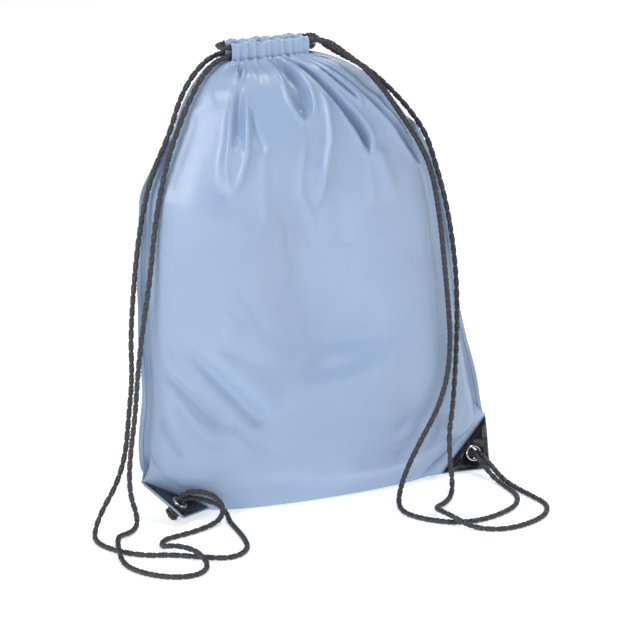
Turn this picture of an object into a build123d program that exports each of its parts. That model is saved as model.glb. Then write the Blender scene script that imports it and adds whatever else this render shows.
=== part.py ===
from build123d import *
import math
import os

# Drawstring bag, drawn shut and standing on its base.  Millimetres, +Z up, front towards -Y.
# The origin is on the floor, midway across the bag and in the plane of its side seams.

# Cloth
cloth_wall = 1.0
flange_cloth = 0.6
body_height = 410.0
body_width = 350.0
nominal_height = 410.0
nominal_width = 350.0
flange_width = 9.0
flange_foot = 30.0
flange_head = 330.0
flange_end = 345.0
flange_tip = 0.5

# Stations of the standing bag: height, middle, half width and half depth
stations = [
    (0, 5, 112, 22),
    (15, 2, 127, 26),
    (30, -1, 147, 31),
    (45, 2, 162, 36),
    (70, -2, 160, 39),
    (110, -4, 153, 43),
    (157, -12, 149, 45),
    (200, -15, 146, 47),
    (250, -19, 141, 54),
    (300, -24, 133, 60),
    (346, -24, 110, 58),
    (372, -30, 94, 50),
    (392, -36, 76, 38),
    (405, -41, 54, 22),
    (410, -46, 38, 12),
]

# Drawstring channels
channel_left = -83.0
channel_right = -10.0
channel_height = 16.0
channel_depth = 8.0
channel_wall = 0.8
mouth_gap = 6.0

# Drawcords
cord_diameter = 5.0
lane_gap = 1.0
leg_inset = 18.0
loop_stand_off = 1.0

# Corner ears, patches and eyelets
ear_leg = 50.0
ear_overlap = 8.0
ear_round = 4.0
patch_wall = 1.0
patch_margin = 1.5
eyelet_inset = 16.0
eyelet_bore = 10.6
eyelet_barrel_wall = 0.4
eyelet_outer = 15.0
eyelet_flange = 0.8
washer_wall = 0.6
barrel_clearance = 0.2

# Knots
knot_width = 14.0
knot_height = 10.0
knot_gap = 0.4
knot_round = 4.0
stub_rise = 3.0
strand_offset = 2.6

# Heights above each ear's mid plane from which the strands turn into the eyelet
high_approach = 12.0
low_approach = 9.0
right_approach = 10.5

# Sewing thread
thread_width = 0.6
thread_rise = 0.3
seam_allowance = 5.0
thread_foot = 52.0
thread_tip_inner = 0.2
thread_tip_outer = 0.4
patch_stitch_inset = 3.0

# Working values: rounding of square edges, and how far a cutting tool reaches past what it cuts
edge_gap = 0.5
past = 5.0

os.makedirs("parts", exist_ok=True)

height_scale = body_height / nominal_height
width_scale = body_width / nominal_width
cord_radius = cord_diameter / 2
channel_base = body_height
channel_middle = channel_base + channel_height / 2
channel_y = mouth_gap / 2 + channel_depth / 2
lane_step = (cord_diameter + lane_gap) / 2
lower_lane = channel_middle - lane_step
upper_lane = channel_middle + lane_step


def write(shape, name):
    shape.label = name
    export_step(shape, f"parts/{name}.step")
    print(name, "solids", len(shape.solids()), "volume", round(shape.volume, 1))


def scaled(station):
    z, middle, half_width, half_depth = station
    return z * height_scale, middle * width_scale, half_width * width_scale, half_depth


def half_ellipse(z, middle, half_width, half_depth, side):
    """Closed half of an ellipse on the -Y side (side -1) or the +Y side (side 1)."""
    centre = (middle, 0, z)
    start = 180 if side < 0 else 0
    arc = EllipticalCenterArc(centre, half_width, half_depth, start_angle=start, arc_size=180)
    chord = Line(arc @ 1, arc @ 0)
    return make_face(Curve() + [arc, chord])


def half_body(side, inset, floor, lift):
    faces = []
    for number, station in enumerate(stations):
        z, middle, half_width, half_depth = scaled(station)
        if number == 0:
            z = floor
        faces.append(half_ellipse(z, middle, half_width - inset, half_depth - inset, side))
    if lift:
        faces.append(half_ellipse(z + lift, middle, half_width - inset, half_depth - inset, side))
    return loft(faces, ruled=True)


def edge_x(z, side):
    """X of the body's left (side -1) or right (side 1) edge at a height between stations."""
    for low, high in zip(stations, stations[1:]):
        z0, m0, w0, d0 = scaled(low)
        z1, m1, w1, d1 = scaled(high)
        if z0 <= z <= z1:
            share = (z - z0) / (z1 - z0)
            return m0 + (m1 - m0) * share + side * (w0 + (w1 - w0) * share)
    raise ValueError("height outside the body")


def seam_strip(side, foot, inner, outer, end_inner, end_outer):
    """Face in the seam plane between two distances out from the body's edge, narrowing at the top."""
    levels = [z for z, m, w, d in map(scaled, stations) if foot < z < flange_head]
    levels = [foot] + levels + [flange_head]
    inside = [(edge_x(z, side) + side * inner, 0, z) for z in levels]
    outside = [(edge_x(z, side) + side * outer, 0, z) for z in levels]
    top_x = edge_x(flange_end, side)
    inside.append((top_x + side * end_inner, 0, flange_end))
    outside.append((top_x + side * end_outer, 0, flange_end))
    a = Polyline(inside)
    b = Polyline(outside)
    return make_face(Curve() + [a, b, Line(a @ 0, b @ 0), Line(a @ 1, b @ 1)])


def thicken(face, y0, y1):
    slab = extrude(face, amount=abs(y1 - y0), dir=(0, 1, 0))
    return Pos(0, min(y0, y1), 0) * slab


# An ear is a right triangle of cloth at a bottom corner: its tip, and the directions of its
# bottom edge and its side edge.  The left ear is folded forward, the right one stands in the seam.
class Ear:
    def __init__(self, name, tip, along, up, flipped):
        self.name = name
        bottom = Vector(*along).normalized()
        rise = Vector(*up)
        rise = (rise - bottom * rise.dot(bottom)).normalized()
        self.tip = Vector(*tip)
        self.bottom = bottom
        self.rise = rise
        first = rise if flipped else bottom
        normal = first.cross(bottom if flipped else rise)
        self.plane = Plane(origin=self.tip, x_dir=first, z_dir=normal)
        self.normal = normal

    def at(self, along, up, out):
        return self.tip + self.bottom * along + self.rise * up + self.normal * out

    def eyelet(self, out, aside=(0, 0)):
        return self.at(eyelet_inset + aside[0], eyelet_inset + aside[1], out)

    def triangle(self, near, far, low, high):
        """Plate between two offsets from the ear's mid plane, with its tip rounded."""
        outline = make_face(Polyline((near, near), (far, near), (near, far), close=True))
        corner = outline.vertices().sort_by(lambda v: v.X + v.Y)[0]
        rounded = fillet(corner, ear_round)
        return self.plane * Pos(0, 0, low) * extrude(rounded, amount=high - low)

    def disc(self, diameter, low, high):
        place = self.plane * Pos(eyelet_inset, eyelet_inset, low)
        return place * extrude(Circle(diameter / 2), amount=high - low)


left_ear = Ear("left", (-144 * width_scale, -37, 10), (0.752, 0.641, -0.155), (-0.494, 0.703, 0.512), False)
right_ear = Ear("right", (172 * width_scale, -15, 2), (-1, 0.06, 0.02), (0.06, 0.31, 0.95), True)
ears = [left_ear, right_ear]

hole = eyelet_bore + 2 * eyelet_barrel_wall + 2 * barrel_clearance


def make_panels():
    panels = {}
    outer = {}
    for name, side in (("front", -1), ("back", 1)):
        outer[name] = half_body(side, 0, 0, 0)
        cavity = half_body(side, cloth_wall, cloth_wall, past)
        shell = outer[name] - cavity
        for edge in (-1, 1):
            strip = seam_strip(edge, flange_foot, -cloth_wall / 2, flange_width, -cloth_wall / 2, flange_tip)
            shell += thicken(strip, 0, side * flange_cloth)
        panels[name] = shell
    whole = outer["front"] + outer["back"]
    for ear in ears:
        far = ear_leg + ear_overlap
        front = ear.triangle(0, far, 0, flange_cloth) - whole
        back = ear.triangle(0, far, -flange_cloth, 0) - whole
        punch = ear.disc(hole, -past, past)
        behind = Pos(0, body_width / 2, 0) * Box(2 * body_width, body_width, body_width)
        panels["front"] += front - behind - punch
        panels["back"] += back - punch
    panels["back"] -= panels["front"]
    return panels


panels = make_panels()
for name in panels:
    write(panels[name], f"{name}_panel")


# Each channel is the panel's top edge folded over and sewn: an open-ended tube along X.
def make_channel(side):
    length = channel_right - channel_left
    middle = (channel_left + channel_right) / 2
    outer = Box(length, channel_depth, channel_height)
    outer = fillet(outer.edges().filter_by(Axis.X), channel_depth / 2 - edge_gap)
    bore_depth = channel_depth - 2 * channel_wall
    bore = Box(length + past, bore_depth, channel_height - 2 * channel_wall)
    bore = fillet(bore.edges().filter_by(Axis.X), bore_depth / 2 - edge_gap)
    return Pos(middle, side * channel_y, channel_middle) * (outer - bore)


def make_channel_thread(side):
    """Row of thread along the foot of a channel, on its outer face."""
    y = side * (channel_y + channel_depth / 2 + thread_rise / 2)
    length = channel_right - channel_left
    row = Box(length, thread_rise, thread_width)
    return Pos((channel_left + channel_right) / 2, y, channel_base + channel_depth / 2) * row


for name, side in (("front", -1), ("back", 1)):
    write(make_channel(side), f"{name}_channel")
    write(make_channel_thread(side), f"{name}_channel_thread")


# Threads down the two side seams, one row on each face of the flange.
def make_seam_thread(side):
    inner = seam_allowance - thread_width / 2
    outer = seam_allowance + thread_width / 2
    strip = seam_strip(side, thread_foot, inner, outer, thread_tip_inner, thread_tip_outer)
    front = thicken(strip, -flange_cloth - thread_rise, -flange_cloth)
    back = thicken(strip, flange_cloth, flange_cloth + thread_rise)
    return Compound(children=[front, back])


write(make_seam_thread(-1), "left_seam_thread")
write(make_seam_thread(1), "right_seam_thread")


# Corner patches, with the thread that sews them, and the eyelet that goes through all layers.
patch_front = flange_cloth + patch_wall
patch_back = -flange_cloth - patch_wall


def make_patch(ear, low, high):
    patch = ear.triangle(0, ear_leg - patch_margin, low, high) - ear.disc(hole, low - past, high + past)
    return patch - panels["front"] - panels["back"]


# A right triangle set in by a distance all round has legs shorter by this many times that distance.
triangle_inset = 2 + math.sqrt(2)


def make_patch_thread(ear):
    rows = []
    for low in (patch_front, patch_back - thread_rise):
        near = patch_stitch_inset
        span = ear_leg - patch_margin - triangle_inset * patch_stitch_inset
        ring = ear.triangle(near, near + span, low, low + thread_rise)
        inner = near + thread_width
        ring -= ear.triangle(inner, inner + span - triangle_inset * thread_width, low - past, low + past)
        rows.append(ring)
    return Compound(children=rows)


def make_eyelet(ear):
    barrel = eyelet_bore + 2 * eyelet_barrel_wall
    body = ear.disc(eyelet_outer, patch_front, patch_front + eyelet_flange)
    body += ear.disc(barrel, patch_back - washer_wall, patch_front)
    return body - ear.disc(eyelet_bore, patch_back - past, patch_front + past)


def make_washer(ear):
    barrel = eyelet_bore + 2 * eyelet_barrel_wall
    ring = ear.disc(eyelet_outer, patch_back - washer_wall, patch_back)
    return ring - ear.disc(barrel + barrel_clearance, patch_back - past, patch_front)


for ear in ears:
    write(make_patch(ear, flange_cloth, patch_front), f"{ear.name}_front_patch")
    write(make_patch(ear, patch_back, -flange_cloth), f"{ear.name}_back_patch")
    write(make_patch_thread(ear), f"{ear.name}_patch_thread")
    write(make_eyelet(ear), f"{ear.name}_eyelet")
    write(make_washer(ear), f"{ear.name}_eyelet_washer")


# Each drawcord runs through both channels and turns round at the far end.  The left cord is in
# the lower lane and turns at the right end; the right cord is in the upper lane, the other way.
def make_loop(turn_x, leg_x, lane, direction):
    centre = turn_x + direction * loop_stand_off
    turn = centre + direction * channel_y
    legs = [
        Line((leg_x, -channel_y, lane), (centre, -channel_y, lane)),
        ThreePointArc((centre, -channel_y, lane), (turn, 0, lane), (centre, channel_y, lane)),
        Line((centre, channel_y, lane), (leg_x, channel_y, lane)),
    ]
    path = Wire(legs)
    start = Plane(origin=path @ 0, z_dir=path % 0)
    return sweep(start * Circle(cord_radius), path=path)


left_leg_x = channel_left + leg_inset
right_leg_x = channel_right - leg_inset
write(make_loop(channel_right, left_leg_x, lower_lane, 1), "left_drawcord_loop")
write(make_loop(channel_left, right_leg_x, upper_lane, -1), "right_drawcord_loop")


# Free strands: points of each route from the channel to its eyelet.
def strand_end(ear, aside, approach):
    a = ear.eyelet(approach, aside)
    b = ear.eyelet(stub_rise, aside)
    return [tuple(a), tuple(b)]


side_step = strand_offset / math.sqrt(2)
low_left = (side_step, -side_step)
high_left = (-side_step, side_step)
left_of_right = (strand_offset, 0)
right_of_right = (-strand_offset, 0)

left_front_route = [
    (left_leg_x, -channel_y, lower_lane), (-90, -channel_y, lower_lane), (-111, -11, 400), (-127, -15, 378),
    (-140, -18, 350), (-151, -19, 318), (-160, -19, 276), (-165, -19, 228), (-173, -19, 182),
    (-178, -19, 144), (-181, -19, 106), (-186, -19, 72), (-188, -19, 48), (-186, -18, 29),
    (-180, -15, 13), (-182, -22, 4), (-191, -31, 2.5), (-204, -40, 4.5), (-214, -56, 9),
    (-222, -77, 9), (-227, -100, 2.5), (-221, -124, 2.5), (-205, -144, 2.5), (-184, -152, 2.5),
    (-167, -143, 2.5), (-161, -128, 4.5), (-164, -111, 9), (-175, -93, 9), (-182, -76, 2.5),
    (-173, -60, 2.5), (-152, -56, 2.5), (-131, -50, 2.5), (-112, -43, 5), (-105, -36, 13),
    (-109, -29, 22), (-122, -24, 28),
] + strand_end(left_ear, high_left, high_approach)

left_back_route = [
    (left_leg_x, channel_y, lower_lane), (-90, channel_y, lower_lane), (-112, 4, 400), (-128, 0, 378),
    (-140, -6, 350), (-159, -9, 316), (-170, -9, 272), (-176, -8, 222), (-180, -8, 172),
    (-179, -8, 136), (-183, -8, 100), (-187, -9, 66), (-197, -11, 40), (-212, -14, 20),
    (-223, -23, 5), (-229, -42, 2.5), (-222, -66, 2.5), (-203, -89, 2.5), (-180, -97, 2.5),
    (-158, -114, 2.5), (-136, -127, 2.5), (-115, -113, 2.5), (-108, -88, 2.5), (-105, -64, 2.5),
    (-103, -43, 2.5), (-99, -30, 4), (-102, -20, 10), (-112, -18, 15), (-123, -18, 19),
] + strand_end(left_ear, low_left, low_approach)

right_front_route = [
    (right_leg_x, -channel_y, upper_lane), (-6, -channel_y, upper_lane), (7, -15, 420), (20, -21, 409),
    (36, -26, 396), (53, -30, 376), (69, -34, 351), (86, -34, 326), (99, -34, 298), (108, -32, 256),
    (114, -31, 210), (119, -31, 165), (121, -31, 130), (116, -34, 100), (104, -38, 74),
    (88, -41, 52), (72, -45, 29), (60, -53, 11), (50, -70, 2.5), (47, -92, 2.5),
    (58, -113, 2.5), (75, -129, 2.5), (98, -134, 2.5), (124, -127, 2.5), (147, -113, 2.5),
    (160, -91, 2.5), (161, -66, 2.5), (160, -46, 4), (157, -31, 12),
] + strand_end(right_ear, left_of_right, right_approach)

right_back_route = [
    (right_leg_x, channel_y, upper_lane), (-6, channel_y, upper_lane), (6, 15, 420), (17, 19, 410),
    (34, 17, 399), (56, 13, 387), (76, 8, 368), (93, 2, 348), (106, -7, 326), (115, -9, 298), (124, -12, 264),
    (131, -14, 224), (134, -17, 184), (132, -22, 142), (128, -27, 104), (124, -31, 74),
    (118, -36, 53), (115, -43, 33), (114, -50, 15), (108, -63, 3), (93, -80, 2.5), (77, -92, 4.5),
    (70, -109, 9), (74, -129, 9), (85, -148, 2.5), (106, -163, 2.5), (132, -160, 2.5),
    (158, -147, 2.5), (173, -124, 2.5), (171, -98, 2.5), (168, -73, 2.5), (166, -51, 4),
    (163, -34, 12),
] + strand_end(right_ear, right_of_right, right_approach)

strands = {
    "left_front_strand": left_front_route,
    "left_back_strand": left_back_route,
    "right_front_strand": right_front_route,
    "right_back_strand": right_back_route,
}


def corner_radii(points):
    radii = []
    for a, b, c in zip(points, points[1:], points[2:]):
        before = Vector(*b) - Vector(*a)
        after = Vector(*c) - Vector(*b)
        turn = before.get_angle(after)
        shorter = min(before.length, after.length)
        radii.append(0.45 * shorter / math.tan(math.radians(turn / 2)))
    return radii


def make_strand(name, points):
    radii = corner_radii(points)
    print(name, "radii", [round(r, 1) for r in radii])
    path = Wire(FilletPolyline(*points, radius=radii).edges())
    tube = sweep(Plane(origin=path @ 0, z_dir=path % 0) * Circle(cord_radius), path=path)
    ideal = math.pi * cord_radius ** 2 * path.length
    print(name, "length", round(path.length, 1), "volume / section / length", round(tube.volume / ideal, 4))
    return tube


for name in strands:
    write(make_strand(name, strands[name]), name)


# A knot under each eyelet, with the two stubs that come up through the bore to meet the strands.
def make_knot(ear, asides):
    base = patch_back - washer_wall - knot_gap - knot_height / 2
    body = Cylinder(knot_width / 2, knot_height)
    body = fillet(body.edges().filter_by(GeomType.CIRCLE), knot_round)
    knot = ear.plane * Pos(eyelet_inset, eyelet_inset, base) * body
    for along, up in asides:
        spot = ear.plane.to_local_coords(ear.eyelet(base, (along, up)))
        stub = extrude(Circle(cord_radius), amount=stub_rise - base)
        knot += ear.plane * Pos(spot.X, spot.Y, spot.Z) * stub
    return knot


write(make_knot(left_ear, [low_left, high_left]), "left_knot")
write(make_knot(right_ear, [left_of_right, right_of_right]), "right_knot")
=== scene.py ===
import math
import random
import bmesh
import bpy
import numpy as np
from mathutils import Matrix, Vector, noise


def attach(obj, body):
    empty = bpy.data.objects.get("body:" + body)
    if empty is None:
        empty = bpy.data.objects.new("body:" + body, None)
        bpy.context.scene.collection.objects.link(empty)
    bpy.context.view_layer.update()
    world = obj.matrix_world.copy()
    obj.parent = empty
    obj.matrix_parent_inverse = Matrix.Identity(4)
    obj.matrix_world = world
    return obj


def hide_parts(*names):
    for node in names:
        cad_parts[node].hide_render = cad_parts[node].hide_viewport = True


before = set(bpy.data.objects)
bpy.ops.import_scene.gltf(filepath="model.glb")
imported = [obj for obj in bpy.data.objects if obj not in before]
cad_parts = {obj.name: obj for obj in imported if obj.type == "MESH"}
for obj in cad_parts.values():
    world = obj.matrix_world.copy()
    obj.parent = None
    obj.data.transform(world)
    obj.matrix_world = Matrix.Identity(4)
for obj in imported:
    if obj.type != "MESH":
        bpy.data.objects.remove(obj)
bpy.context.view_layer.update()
scene = bpy.context.scene
print("stage: frame loaded")


def deselectAll():
    if bpy.context.object and bpy.context.object.mode != "OBJECT":
        bpy.ops.object.mode_set(mode="OBJECT")
    bpy.ops.object.select_all(action="DESELECT")


def makeActive(piece):
    deselectAll()
    piece.select_set(True)
    bpy.context.view_layer.objects.active = piece


def applyModifiers(piece):
    makeActive(piece)
    for name in [m.name for m in piece.modifiers]:
        bpy.ops.object.modifier_apply(modifier=name)


def newPiece(name, points, faces, edges=()):
    mesh = bpy.data.meshes.new(name)
    mesh.from_pydata([tuple(p) for p in points], list(edges), faces)
    piece = bpy.data.objects.new(name, mesh)
    scene.collection.objects.link(piece)
    return piece


def handOver(piece, body, node):
    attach(piece, body)
    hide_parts(node)


# camera, floor and soft lights
studio = {
    "target": Vector((0.0044, -0.0021, 0.1635)),
    "distance": 3.0,
    "turn": -25,
    "rise": 17,
    "frameWidth": 0.5715,
    "floorSize": 14,
    "floorTone": (0.86, 0.86, 0.86, 1),
    "floorGlow": 0.50,
    "floorRough": 0.9,
    "sensor": 36,
    "aim": Vector((0, 0, 0.2)),
    "air": 0.22,             # strength of the even light from all round
    # place, size and power of each soft box: the key high on the left, a weak fill, a strip above and
    # in front that catches the folds' rims, and two behind
    "softBoxes": [
        ((-2.4, -1.25, 1.2), 1.5, 43),
        ((1.9, -1.7, 0.8), 1.2, 8),
        ((0.4, -0.6, 2.3), 0.7, 20),
        ((1.3, 1.5, 1.6), 1.0, 14),
        ((-1.5, 1.5, 1.4), 1.0, 10),
    ],
}


def makeStudio():
    turn = math.radians(studio["turn"])
    rise = math.radians(studio["rise"])
    back = Vector((math.sin(turn) * math.cos(rise), -math.cos(turn) * math.cos(rise), math.sin(rise)))
    place = studio["target"] + back * studio["distance"]
    bpy.ops.object.camera_add(location=place, rotation=(-back).to_track_quat("-Z", "Y").to_euler())
    camera = bpy.context.object
    camera.data.sensor_width = studio["sensor"]
    camera.data.lens = studio["sensor"] * studio["distance"] / studio["frameWidth"]
    scene.camera = camera

    bpy.ops.mesh.primitive_plane_add(size=studio["floorSize"], location=(0, 0, 0))
    floor = bpy.context.object
    floor.name = "studioFloor"
    paper = bpy.data.materials.new("studioPaper")
    paper.use_nodes = True
    facts = {"Base Color": studio["floorTone"], "Roughness": studio["floorRough"],
             "Emission Color": (1, 1, 1, 1), "Emission Strength": studio["floorGlow"]}
    for socket, value in facts.items():
        paper.node_tree.nodes["Principled BSDF"].inputs[socket].default_value = value
    floor.data.materials.append(paper)

    for place, size, power in studio["softBoxes"]:
        aim = (studio["aim"] - Vector(place)).to_track_quat("-Z", "Y").to_euler()
        bpy.ops.object.light_add(type="AREA", location=place, rotation=aim)
        lamp = bpy.context.object.data
        lamp.size = size
        lamp.energy = power
    world = bpy.data.worlds.new("studioWorld")
    scene.world = world
    world.use_nodes = True
    glow = world.node_tree.nodes["Background"]
    glow.inputs["Color"].default_value = (1, 1, 1, 1)
    glow.inputs["Strength"].default_value = studio["air"]
    scene.view_settings.view_transform = "Standard"


makeStudio()
print("stage: studio")


def newMaterial(name, tone, rough, metal=0.0, sheen=0.0, coat=0.0, coatRough=0.1, specular=0.5):
    made = bpy.data.materials.new(name)
    made.use_nodes = True
    tree = made.node_tree
    shader = tree.nodes["Principled BSDF"]
    shader.inputs["Base Color"].default_value = (*tone, 1)
    shader.inputs["Roughness"].default_value = rough
    shader.inputs["Metallic"].default_value = metal
    shader.inputs["Sheen Weight"].default_value = sheen
    shader.inputs["Coat Weight"].default_value = coat
    shader.inputs["Coat Roughness"].default_value = coatRough
    shader.inputs["Specular IOR Level"].default_value = specular
    return made, tree, shader


def addNode(tree, kind, **settings):
    node = tree.nodes.new(kind)
    for key, value in settings.items():
        if key in node.inputs:
            node.inputs[key].default_value = value
        else:
            setattr(node, key, value)
    return node


def toneMix(tree, factor, low, high):
    mix = tree.nodes.new("ShaderNodeMix")
    mix.data_type = "RGBA"
    mix.inputs[6].default_value = (*low, 1)
    mix.inputs[7].default_value = (*high, 1)
    tree.links.new(factor, mix.inputs[0])
    return mix.outputs[2]


def spread(tree, value, low, high, outLow, outHigh):
    remap = tree.nodes.new("ShaderNodeMapRange")
    limits = {"From Min": low, "From Max": high, "To Min": outLow, "To Max": outHigh}
    for socket, number in limits.items():
        remap.inputs[socket].default_value = number
    tree.links.new(value, remap.inputs["Value"])
    return remap.outputs["Result"]


def bumpFrom(tree, height, strength, distance, under=None):
    bump = tree.nodes.new("ShaderNodeBump")
    bump.inputs["Strength"].default_value = strength
    bump.inputs["Distance"].default_value = distance
    tree.links.new(height, bump.inputs["Height"])
    if under:
        tree.links.new(under, bump.inputs["Normal"])
    return bump.outputs["Normal"]


def noiseOn(tree, where, scale, detail=3.0, rough=0.5):
    node = tree.nodes.new("ShaderNodeTexNoise")
    node.inputs["Scale"].default_value = scale
    node.inputs["Detail"].default_value = detail
    node.inputs["Roughness"].default_value = rough
    tree.links.new(where, node.inputs["Vector"])
    return node.outputs["Fac"]


def bandsOn(tree, where, scale, direction, distortion=0.0):
    node = tree.nodes.new("ShaderNodeTexWave")
    node.bands_direction = direction
    node.inputs["Scale"].default_value = scale
    node.inputs["Distortion"].default_value = distortion
    tree.links.new(where, node.inputs["Vector"])
    return node.outputs["Fac"]


clothLook = {
    "tone": (0.300, 0.415, 0.600),
    "deep": (0.287, 0.400, 0.582),
    "pale": (0.313, 0.430, 0.618),
    "rough": 0.33,
    "threads": 620,      # bands over a metre of cloth, across and along
}


def makeClothMaterial():
    look = clothLook
    made, tree, shader = newMaterial("blueNylonTaffeta", look["tone"], look["rough"], sheen=0.10,
                                     coat=0.28, coatRough=0.24, specular=0.6)
    shader.inputs["Sheen Roughness"].default_value = 0.35
    shader.inputs["Sheen Tint"].default_value = (0.85, 0.92, 1, 1)
    links = tree.links
    flat = addNode(tree, "ShaderNodeUVMap", uv_map="flat").outputs["UV"]
    place = addNode(tree, "ShaderNodeTexCoord").outputs["Object"]
    warp = bandsOn(tree, flat, look["threads"], "X", 0.4)
    weft = bandsOn(tree, flat, look["threads"], "Y", 0.4)
    weave = addNode(tree, "ShaderNodeMath", operation="MULTIPLY")
    links.new(warp, weave.inputs[0])
    links.new(weft, weave.inputs[1])
    slubs = noiseOn(tree, flat, 90, 4, 0.65)      # thicker threads here and there
    patches = noiseOn(tree, place, 9, 3, 0.55)
    tone = toneMix(tree, spread(tree, patches, 0.35, 0.65, 0, 1), look["deep"], look["pale"])
    fine = tree.nodes.new("ShaderNodeMix")
    fine.data_type = "RGBA"
    fine.blend_type = "MULTIPLY"
    links.new(spread(tree, weave.outputs[0], 0, 1, 0.0, 0.10), fine.inputs[0])
    links.new(tone, fine.inputs[6])
    fine.inputs[7].default_value = (0.78, 0.84, 0.92, 1)
    links.new(fine.outputs[2], shader.inputs["Base Color"])
    links.new(spread(tree, slubs, 0.3, 0.7, look["rough"] - 0.05, look["rough"] + 0.07),
              shader.inputs["Roughness"])
    creases = noiseOn(tree, place, 38, 5, 0.62)   # small soft wrinkles of thin coated cloth
    soft = bumpFrom(tree, creases, 0.16, 0.004)
    slubbed = bumpFrom(tree, slubs, 0.10, 0.0006, soft)
    woven = bumpFrom(tree, weave.outputs[0], 0.22, 0.00018, slubbed)
    links.new(woven, shader.inputs["Normal"])
    return made


leatherLook = {
    "tone": (0.002, 0.002, 0.006),
    "worn": (0.005, 0.005, 0.011),
    "grain": 1100,
}


def makeLeatherMaterial():
    look = leatherLook
    made, tree, shader = newMaterial("blackCoatedLeather", look["tone"], 0.24, coat=0.8, coatRough=0.08,
                                     specular=0.3)
    links = tree.links
    place = addNode(tree, "ShaderNodeTexCoord").outputs["Object"]
    cells = tree.nodes.new("ShaderNodeTexVoronoi")
    cells.inputs["Scale"].default_value = look["grain"]
    links.new(place, cells.inputs["Vector"])
    clouds = noiseOn(tree, place, 60, 4, 0.6)
    pits = noiseOn(tree, place, 260, 3, 0.6)
    links.new(toneMix(tree, spread(tree, clouds, 0.4, 0.75, 0, 1), look["tone"], look["worn"]),
              shader.inputs["Base Color"])
    links.new(spread(tree, pits, 0.3, 0.7, 0.16, 0.30), shader.inputs["Roughness"])
    dents = bumpFrom(tree, clouds, 0.30, 0.0030)
    pebbles = bumpFrom(tree, cells.outputs["Distance"], 0.10, 0.00012, dents)
    links.new(pebbles, shader.inputs["Normal"])
    links.new(dents, shader.inputs["Coat Normal"])
    return made


def makeNickelMaterial():
    made, tree, shader = newMaterial("brightNickel", (0.83, 0.81, 0.77), 0.16, metal=1)
    links = tree.links
    place = addNode(tree, "ShaderNodeTexCoord").outputs["Object"]
    smears = noiseOn(tree, place, 420, 4, 0.6)
    rubs = noiseOn(tree, place, 2600, 2, 0.5)
    bright, worn = (0.86, 0.84, 0.80), (0.66, 0.64, 0.61)
    tone = toneMix(tree, spread(tree, smears, 0.35, 0.7, 0, 1), bright, worn)
    links.new(tone, shader.inputs["Base Color"])
    links.new(spread(tree, smears, 0.3, 0.7, 0.12, 0.27), shader.inputs["Roughness"])
    links.new(bumpFrom(tree, rubs, 0.12, 0.00008), shader.inputs["Normal"])
    return made


cordLook = {
    "tone": (0.003, 0.003, 0.007),
    "pale": (0.036, 0.037, 0.054),
    "fibres": 26,        # filaments seen across one carrier
}


def makeCordMaterial():
    look = cordLook
    made, tree, shader = newMaterial("blackBraid", look["tone"], 0.3, sheen=0.04, specular=0.8)
    shader.inputs["Sheen Roughness"].default_value = 0.4
    links = tree.links
    lay = addNode(tree, "ShaderNodeUVMap", uv_map="lay").outputs["UV"]
    place = addNode(tree, "ShaderNodeTexCoord").outputs["Object"]
    fibres = bandsOn(tree, lay, look["fibres"], "X", 0.6)
    fuzz = noiseOn(tree, place, 700, 3, 0.6)
    both = addNode(tree, "ShaderNodeMath", operation="MULTIPLY")
    links.new(fibres, both.inputs[0])
    links.new(fuzz, both.inputs[1])
    links.new(toneMix(tree, spread(tree, both.outputs[0], 0.1, 0.55, 0, 1), look["tone"], look["pale"]),
              shader.inputs["Base Color"])
    links.new(spread(tree, fuzz, 0.3, 0.7, 0.22, 0.40), shader.inputs["Roughness"])
    links.new(bumpFrom(tree, fibres, 0.35, 0.00012), shader.inputs["Normal"])
    return made


def makeThreadMaterial(name, tone, pale):
    made, tree, shader = newMaterial(name, tone, 0.5, sheen=0.2)
    links = tree.links
    place = addNode(tree, "ShaderNodeTexCoord").outputs["Object"]
    plies = bandsOn(tree, place, 1500, "DIAGONAL", 0.5)
    fuzz = noiseOn(tree, place, 900, 2, 0.5)
    links.new(toneMix(tree, spread(tree, plies, 0.1, 0.9, 0, 1), tone, pale), shader.inputs["Base Color"])
    links.new(spread(tree, fuzz, 0.3, 0.7, 0.42, 0.6), shader.inputs["Roughness"])
    links.new(bumpFrom(tree, plies, 0.3, 0.0001), shader.inputs["Normal"])
    return made


def paint(piece, made):
    piece.data.materials.clear()
    piece.data.materials.append(made)


clothMaterial = makeClothMaterial()
leatherMaterial = makeLeatherMaterial()
nickelMaterial = makeNickelMaterial()
cordMaterial = makeCordMaterial()
threadMaterial = makeThreadMaterial("blueThread", (0.06, 0.09, 0.17), (0.13, 0.19, 0.32))
blackThread = makeThreadMaterial("blackThread", (0.014, 0.014, 0.018), (0.05, 0.05, 0.06))
print("stage: materials")


# the free strands follow the routes of the design, in metres
cord = {
    "diameter": 0.005,
    "carriers": 8,
    "pitch": 0.0205,
    "weave": 0.00050,
    "carrierWidth": 0.0019,
    "carrierThick": 0.00080,
    "coreInset": 0.0011,
    "step": 0.0011,
}

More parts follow.
